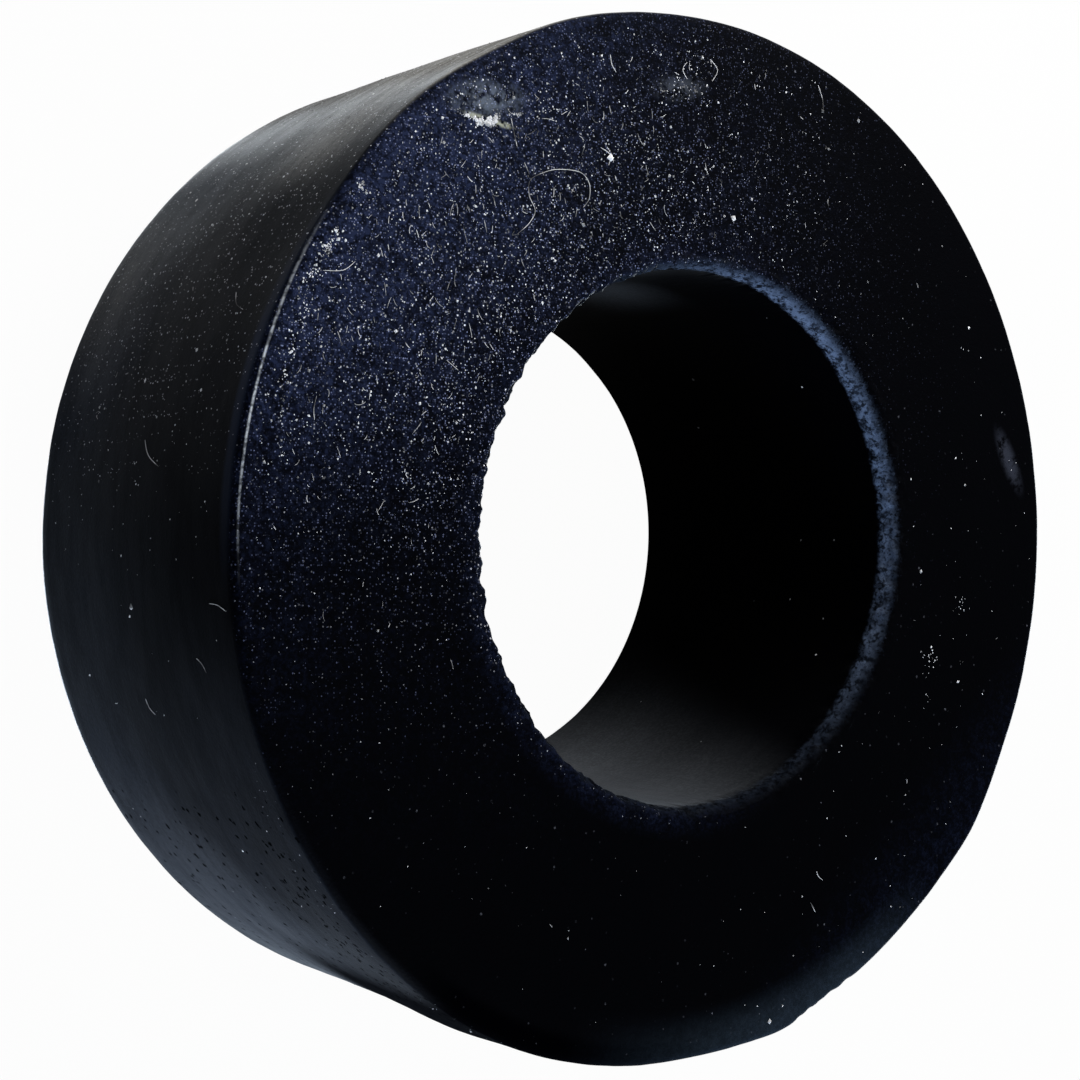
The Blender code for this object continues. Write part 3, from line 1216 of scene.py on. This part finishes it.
class Scatter:
    """A mesh of many small flecks or fibres, with its own seeded random numbers."""

    FIBRE_SIDES = 4
    FIBRE_END = 0.55
    FIBRE_RISE = 0.9
    FLECK_HEIGHT = 0.5
    LEAST_REACH = 0.55
    MOST_REACH = 1.30

    def __init__(self, seed):
        self.random = np.random.default_rng(seed)
        self.points = []
        self.faces = []

    def fleck(self, place, outward, width):
        """An uneven, flattened crumb of eight faces, half sunk in the rubber."""
        first, second = self.directions(outward)
        first_index = len(self.points)
        reaches = width / 2 * self.random.uniform(self.LEAST_REACH, self.MOST_REACH, 6)
        rise = outward * self.FLECK_HEIGHT
        ways = (first, second, -first, -second, rise, -rise)
        for way, reach in zip(ways, reaches):
            self.points.append(inside_solid_box(place + way * reach))
        for corner in range(4):
            along = first_index + corner
            across = first_index + (corner + 1) % 4
            self.faces.append((along, across, first_index + 4))
            self.faces.append((across, along, first_index + 5))

    def directions(self, outward):
        """Two directions along the surface, at right angles and turned at random."""
        turn = Matrix.Rotation(self.random.uniform(0.0, 2.0 * math.pi), 3, outward)
        first = turn @ outward.orthogonal().normalized()
        return first, outward.cross(first)

    def fibre(self, places, radius):
        """A thin closed tube that lies on the surface along the given places."""
        first_index = len(self.points)
        sides = self.FIBRE_SIDES
        for index, (place, outward) in enumerate(places):
            before = places[max(index - 1, 0)][0]
            after = places[min(index + 1, len(places) - 1)][0]
            across = outward.cross(after - before).normalized()
            taper = self.FIBRE_END if index in (0, len(places) - 1) else 1.0
            middle = place + outward * radius * self.FIBRE_RISE
            for side in range(sides):
                angle = 2.0 * math.pi * (side + 0.5) / sides
                way = across * math.cos(angle) + outward * math.sin(angle)
                self.points.append(inside_solid_box(middle + way * radius * taper))
        for index in range(len(places) - 1):
            for side in range(sides):
                near = first_index + index * sides + side
                beside = first_index + index * sides + (side + 1) % sides
                self.faces.append((near, beside, beside + sides, near + sides))
        last_index = first_index + (len(places) - 1) * sides
        self.faces.append(tuple(first_index + side for side in reversed(range(sides))))
        self.faces.append(tuple(last_index + side for side in range(sides)))

    def make(self, name, material):
        mesh = bpy.data.meshes.new(name)
        mesh.from_pydata(self.points, [], self.faces)
        piece = add_object(name, mesh, material)
        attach(piece, BODY)
        return piece


def smooth_path(points, steps):
    """A flowing line through a few points, with that many steps from each point to the next."""
    path = []
    count = len(points)
    for index in range(count - 1):
        before = points[max(index - 1, 0)]
        start = points[index]
        end = points[index + 1]
        after = points[min(index + 2, count - 1)]
        for step in range(steps):
            share = step / steps
            path.append(
                tuple(
                    0.5
                    * (
                        2.0 * b
                        + (c - a) * share
                        + (2.0 * a - 5.0 * b + 4.0 * c - d) * share**2
                        + (3.0 * b - a - 3.0 * c + d) * share**3
                    )
                    for a, b, c, d in zip(before, start, end, after)
                )
            )
    path.append(points[-1])
    return path


def face_cover(x, y):
    """How thickly dust lies at a place of the upper face, from 0 to 1."""
    dusty_side = soft_step(-y, -14.0 * MM, 10.0 * MM) ** 3
    across = soft_step(x, -18.0 * MM, 16.0 * MM)
    # Thinner towards the far -Y edge, as painted shade where the lamp lights the face more strongly
    return float(dusty_side * across * (1.0 - 0.45 * soft_step(-y, 20.0 * MM, 27.0 * MM)))


def ring_piece():
    ring = bpy.data.objects.get("rubber_ring")
    if ring is None:
        raise RuntimeError("The rubber ring has to be made before its dust")
    return ring


class OBJECT_OT_bushing_flecks(bpy.types.Operator):
    """Scatters small dust flecks over the ring, with the larger ones in their own places"""

    bl_idname = "object.bushing_flecks"
    bl_label = "Dust flecks"

    STREAK_STEPS = 12
    WIDTH_SPREAD = 0.42
    STREAK_WIDTH_SPREAD = 0.35
    CLUSTER_SIZE = 1.3
    LEAST_COVER = 0.02
    FACE_INNER = 16.9 * MM
    FACE_OUTER = 29.0 * MM
    WALL_LOW = 1.5 * MM
    WALL_HIGH = 23.0 * MM

    def execute(self, context):
        settings = context.scene.bushing_dust
        surface = RingSurface(ring_piece())
        scatter = Scatter(settings.seed)
        for x, y, width in FACE_FLECKS:
            place, outward = surface.on_face(x * MM, y * MM)
            scatter.fleck(place, outward, width)
        for x, y, reach, number in FACE_CLUSTERS:
            self.cluster(settings, surface, scatter, (x * MM, y * MM), reach * MM, number)
        for points, spread, number, width in FACE_STREAKS:
            self.streak(surface, scatter, points, spread, number, width)
        for degrees, height, width in WALL_FLECKS:
            place, outward = surface.on_wall(degrees, height * MM)
            scatter.fleck(place, outward, width)
        for degrees, height, width in BORE_FLECKS:
            place, outward = surface.in_bore(degrees, height * MM)
            scatter.fleck(place, outward, width)
        self.on_face(settings, surface, scatter)
        self.on_wall(settings, surface, scatter)
        scatter.make("dust_flecks", plain_dust_material("dust_flecks", settings.fleck_colour))
        return {"FINISHED"}

    def streak(self, surface, scatter, points, spread, number, width):
        path = smooth_path(points, self.STREAK_STEPS)
        for _fleck in range(number):
            middle = path[scatter.random.integers(len(path))]
            x, y = scatter.random.normal((middle[0] * MM, middle[1] * MM), spread)
            place, outward = surface.on_face(x, y)
            size = math.exp(scatter.random.normal(0.0, self.STREAK_WIDTH_SPREAD))
            scatter.fleck(place, outward, width * size)

    def width(self, settings, scatter):
        return settings.fleck_size * math.exp(scatter.random.normal(0.0, self.WIDTH_SPREAD))

    def cluster(self, settings, surface, scatter, middle, reach, number):
        for _fleck in range(number):
            x, y = scatter.random.normal(middle, reach / 2)
            place, outward = surface.on_face(x, y)
            scatter.fleck(place, outward, self.width(settings, scatter) * self.CLUSTER_SIZE)

    def on_face(self, settings, surface, scatter):
        made = 0
        while made < settings.face_flecks:
            radius = math.sqrt(scatter.random.uniform(self.FACE_INNER**2, self.FACE_OUTER**2))
            angle = scatter.random.uniform(0.0, 2.0 * math.pi)
            x = radius * math.cos(angle)
            y = radius * math.sin(angle)
            if scatter.random.uniform() > max(face_cover(x, y), self.LEAST_COVER):
                continue
            place, outward = surface.on_face(x, y)
            scatter.fleck(place, outward, self.width(settings, scatter))
            made += 1

    def on_wall(self, settings, surface, scatter):
        made = 0
        while made < settings.wall_flecks:
            degrees = scatter.random.uniform(-180.0, 180.0)
            height = scatter.random.uniform(self.WALL_LOW, self.WALL_HIGH)
            cover = float(soft_step(-degrees, -9.0, 22.0) * soft_step(degrees, -165.0, -110.0))
            if scatter.random.uniform() > max(cover, self.LEAST_COVER):
                continue
            place, outward = surface.on_wall(degrees, height)
            scatter.fleck(place, outward, self.width(settings, scatter))
            made += 1


class OBJECT_OT_bushing_lint(bpy.types.Operator):
    """Lays lint fibres on the ring: the ones in their own places, and short ones scattered"""

    bl_idname = "object.bushing_lint"
    bl_label = "Lint"

    STEPS = 5
    LEAST_COVER = 0.02
    FACE_INNER = 17.6 * MM
    FACE_OUTER = 27.8 * MM
    SHORTEST = 0.15 * MM
    USUAL_LONGEST = 0.45 * MM
    RARE_EXTRA = 0.5 * MM
    CURL_SPREAD = 0.7
    HEADING_SPREAD = 0.5
    THINNEST = 0.55

    def execute(self, context):
        settings = context.scene.bushing_dust
        surface = RingSurface(ring_piece())
        scatter = Scatter(settings.seed + 1)
        for points in FACE_FIBRES:
            path = smooth_path(points, self.STEPS)
            scatter.fibre([surface.on_face(x * MM, y * MM) for x, y in path], settings.fibre_radius)
        for points in WALL_FIBRES:
            path = smooth_path(points, self.STEPS)
            scatter.fibre([surface.on_wall(degrees, z * MM) for degrees, z in path], settings.fibre_radius)
        self.on_face(settings, surface, scatter)
        self.on_wall(settings, surface, scatter)
        scatter.make("lint", plain_dust_material("lint", settings.lint_colour))
        return {"FINISHED"}

    def curl(self, scatter, heading):
        """A short curled line from nought, in metres, that sets out roughly along a heading."""
        length = scatter.random.uniform(self.SHORTEST, self.USUAL_LONGEST)
        length += self.RARE_EXTRA * scatter.random.uniform() ** 4
        turn = scatter.random.normal(0.0, self.CURL_SPREAD) / self.STEPS
        heading += scatter.random.normal(0.0, self.HEADING_SPREAD)
        place = (0.0, 0.0)
        path = [place]
        for _step in range(self.STEPS):
            heading += turn
            step = length / self.STEPS
            place = (place[0] + math.cos(heading) * step, place[1] + math.sin(heading) * step)
            path.append(place)
        return path

    def on_face(self, settings, surface, scatter):
        made = 0
        while made < settings.face_fibres:
            radius = math.sqrt(scatter.random.uniform(self.FACE_INNER**2, self.FACE_OUTER**2))
            angle = scatter.random.uniform(0.0, 2.0 * math.pi)
            x = radius * math.cos(angle)
            y = radius * math.sin(angle)
            if scatter.random.uniform() > max(face_cover(x, y), self.LEAST_COVER):
                continue
            path = self.curl(scatter, math.pi / 2)
            radius = settings.fibre_radius * scatter.random.uniform(self.THINNEST, 1.0)
            scatter.fibre([surface.on_face(x + across, y + along) for across, along in path], radius)
            made += 1

    def on_wall(self, settings, surface, scatter):
        for _fibre in range(settings.wall_fibres):
            degrees = scatter.random.uniform(-100.0, 30.0)
            height = scatter.random.uniform(3.0 * MM, 21.5 * MM)
            path = self.curl(scatter, scatter.random.uniform(0.0, math.pi))
            places = []
            for across, along in path:
                turned = degrees + math.degrees(across / OUTER_RADIUS)
                places.append(surface.on_wall(turned, height + along))
            scatter.fibre(places, settings.fibre_radius * scatter.random.uniform(self.THINNEST, 1.0))


class OBJECT_OT_bushing_studio(bpy.types.Operator):
    """Makes the floor, the soft light and the camera"""

    bl_idname = "object.bushing_studio"
    bl_label = "Studio"

    FLOOR_HALF_WIDTH = 1.5
    SENSOR_WIDTH = 36.0
    CLIP_START = 0.01
    CLIP_END = 10.0
    LAMPS = (
        # Name, place, size, power in watts, and colour
        ("key_lamp", (-0.045, -0.10, 0.09), 0.09, 0.26, (1.0, 0.99, 0.97)),
        ("left_lamp", (0.22, -0.04, 0.14), 0.12, 0.04, (0.86, 0.92, 1.0)),
        ("low_lamp", (0.02, 0.22, 0.06), 0.14, 0.80, (0.75, 0.86, 1.0)),
    )

    def execute(self, context):
        settings = context.scene.bushing_studio
        self.make_floor(settings)
        self.make_sky(context.scene, settings)
        for lamp in self.LAMPS:
            self.make_lamp(*lamp)
        self.make_camera(context.scene, settings)
        context.scene.view_settings.view_transform = "Standard"
        return {"FINISHED"}

    def make_floor(self, settings):
        half = self.FLOOR_HALF_WIDTH
        corners = [(-half, -half, 0.0), (half, -half, 0.0), (half, half, 0.0), (-half, half, 0.0)]
        mesh = bpy.data.meshes.new("floor")
        mesh.from_pydata(corners, [], [(0, 1, 2, 3)])
        floor = add_object("floor", mesh, floor_material(settings))

    def make_sky(self, scene, settings):
        world = bpy.data.worlds.new("studio")
        world.use_nodes = True
        graph = Graph(world.node_tree)
        path = graph.node("ShaderNodeLightPath")
        camera = Value(graph, path.outputs["Is Camera Ray"])
        glossy = Value(graph, path.outputs["Is Glossy Ray"])
        transmission = Value(graph, path.outputs["Is Transmission Ray"])
        share = camera + (glossy + transmission) * settings.mirror_share
        strength = settings.sky_strength + share * (1.0 - settings.sky_strength)
        sky = graph.node("ShaderNodeBackground", None, {"Color": colour(WHITE), "Strength": strength})
        graph.node("ShaderNodeOutputWorld", None, {"Surface": sky.outputs[0]})
        scene.world = world

    def make_lamp(self, name, place, size, power, tint):
        light = bpy.data.lights.new(name, "AREA")
        light.shape = "DISK"
        light.size = size
        light.energy = power
        light.color = tint
        lamp = add_object(name, light)
        lamp.location = place
        aim = Vector((0.0, 0.0, HEIGHT / 2)) - lamp.location
        lamp.rotation_euler = aim.to_track_quat("-Z", "Y").to_euler()
        lamp.visible_camera = False

    def make_camera(self, scene, settings):
        data = bpy.data.cameras.new("camera")
        data.lens = settings.lens
        data.sensor_width = self.SENSOR_WIDTH
        data.clip_start = self.CLIP_START
        data.clip_end = self.CLIP_END
        camera = add_object("camera", data)
        elevation = settings.sight_elevation
        back = Vector((math.cos(elevation), 0.0, math.sin(elevation)))
        turn = (-back).to_track_quat("-Z", "Y").to_matrix()
        roll = Matrix.Rotation(settings.camera_roll, 3, "Z")
        camera.matrix_world = Matrix.Translation(settings.camera_place) @ (turn @ roll).to_4x4()
        scene.camera = camera


class VIEW3D_PT_bushing(bpy.types.Panel):
    """Lists the bushing's pieces in the sidebar"""

    bl_idname = "VIEW3D_PT_bushing"
    bl_label = "Body mount bushing"
    bl_space_type = "VIEW_3D"
    bl_region_type = "UI"
    bl_category = "Bushing"

    def draw(self, context):
        scene = context.scene
        for settings, operators in (
            (scene.bushing_ring, (OBJECT_OT_bushing_ring,)),
            (scene.bushing_dust, (OBJECT_OT_bushing_flecks, OBJECT_OT_bushing_lint)),
            (scene.bushing_studio, (OBJECT_OT_bushing_studio,)),
        ):
            box = self.layout.box()
            for name in settings.__annotations__:
                box.prop(settings, name)
            for operator in operators:
                box.operator(operator.bl_idname)


CLASSES = (
    RingSettings,
    DustSettings,
    StudioSettings,
    OBJECT_OT_bushing_ring,
    OBJECT_OT_bushing_flecks,
    OBJECT_OT_bushing_lint,
    OBJECT_OT_bushing_studio,
    VIEW3D_PT_bushing,
)


def register():
    for made in CLASSES:
        bpy.utils.register_class(made)
    bpy.types.Scene.bushing_ring = bpy.props.PointerProperty(type=RingSettings)
    bpy.types.Scene.bushing_dust = bpy.props.PointerProperty(type=DustSettings)
    bpy.types.Scene.bushing_studio = bpy.props.PointerProperty(type=StudioSettings)


def unregister():
    del bpy.types.Scene.bushing_studio
    del bpy.types.Scene.bushing_dust
    del bpy.types.Scene.bushing_ring
    for made in reversed(CLASSES):
        bpy.utils.unregister_class(made)


def write_sizes():
    """Brings the placements of the scene's objects up to date."""
    bpy.context.view_layer.update()


def main():
    register()
    bpy.ops.object.bushing_ring()
    bpy.ops.object.bushing_flecks()
    bpy.ops.object.bushing_lint()
    bpy.ops.object.bushing_studio()
    write_sizes()


if __name__ == "__main__":
    main()
